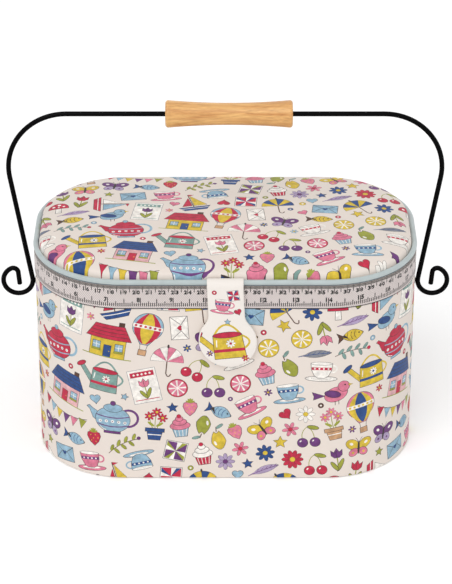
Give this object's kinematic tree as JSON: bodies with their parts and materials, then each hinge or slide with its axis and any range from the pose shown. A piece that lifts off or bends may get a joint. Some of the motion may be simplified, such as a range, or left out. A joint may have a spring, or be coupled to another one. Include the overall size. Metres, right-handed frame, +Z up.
{
  "type": "sewing box",
  "caption": "Cloth-covered oval sewing box with a padded hinged lid, tape-measure trim, closing tab, lift-out tray and a wire handle with a turned wooden grip.",
  "frame": {"origin": "centre of the underside, where the box stands on the table", "axes": "+Z up, +X to the right along the handle's bar, seen from the front, and the front with its closing tab towards -Y"},
  "size_m": [0.364, 0.1883, 0.2904],
  "materials": {
    "printed_cloth": "cream cotton print under a thin matt film, small many-coloured motifs",
    "piping_cloth": "pale blue-grey plain weave",
    "tape_ribbon": "woven ribbon, printed with plain tape-measure numerals and ticks",
    "base_cloth": "plain cream cotton",
    "lining_cloth": "plain blue-grey cotton lining",
    "cushion_cloth": "plain crimson cotton",
    "elastic": "white ribbed elastic",
    "foam": "pale wadding",
    "board": "grey-brown fibreboard",
    "magnet": "plated",
    "tray_plastic": "moulded, milky white",
    "black_enamel": "gloss black enamel",
    "grip_wood": "turned pale hardwood, satin varnish"
  },
  "bodies": {
    "box": {"wall_board": "board", "base_board": "board", "outer_cover": "printed_cloth", "base_cover": "base_cloth", "lining_board": "board", "lower_lining": "lining_cloth", "upper_lining": "lining_cloth", "floor_pad": "lining_cloth", "catch_magnet": "magnet", "hinge_cloth_body": "piping_cloth"},
    "tray": {"tray": "tray_plastic"},
    "lid": {"lid_rim_board": "board", "lid_top_board": "board", "lid_pad": "foam", "lid_top_cover": "printed_cloth", "piping": "piping_cloth", "tape_ribbon": "tape_ribbon", "lid_lining": "lining_cloth", "lid_pocket": "lining_cloth", "pocket_elastic": "elastic", "pin_cushion": "cushion_cloth", "tab_root": "printed_cloth", "hinge_cloth_lid": "piping_cloth"},
    "tab": {"tab_cover": "printed_cloth", "tab_stiffener": "board", "tab_backing": "piping_cloth", "tab_magnet": "magnet"},
    "pivots": {"pivot_bushes": "black_enamel"},
    "handle": {"handle_wire": "black_enamel", "pivot_pins": "black_enamel", "pin_caps": "black_enamel"},
    "grip": {"handle_grip": "grip_wood"}
  },
  "joints": [
    {"name": "lid_hinge", "type": "hinge", "parent": "box", "child": "lid", "pos_m": [0, 0.09215, 0.155], "axis": [-1, 0, 0], "range_deg": [0, 100]},
    {"name": "tab_flap", "type": "hinge", "parent": "lid", "child": "tab", "pos_m": [0, -0.0933, 0.1779], "axis": [-1, 0, 0], "range_deg": [0, 100]},
    {"name": "handle_lean", "type": "hinge", "parent": "box", "child": "pivots", "pos_m": [0, 0, 0.1328], "axis": [-1, 0, 0], "range_deg": [0, 90]},
    {"name": "handle_swing", "type": "hinge", "parent": "pivots", "child": "handle", "pos_m": [0, 0, 0.1328], "axis": [1, 0, 0], "range_deg": [0, 134]},
    {"name": "grip_spin", "type": "hinge", "parent": "handle", "child": "grip", "pos_m": [0, 0, 0.2796], "axis": [1, 0, 0], "continuous": true},
    {"name": "tray_lift", "type": "slide", "parent": "box", "child": "tray", "axis": [0, 0, 1], "range_m": [0, 0.011]}
  ],
  "couplings": [
    {"joint": "handle_lean", "follows": "lid_hinge", "ratio": 0.9}
  ]
}
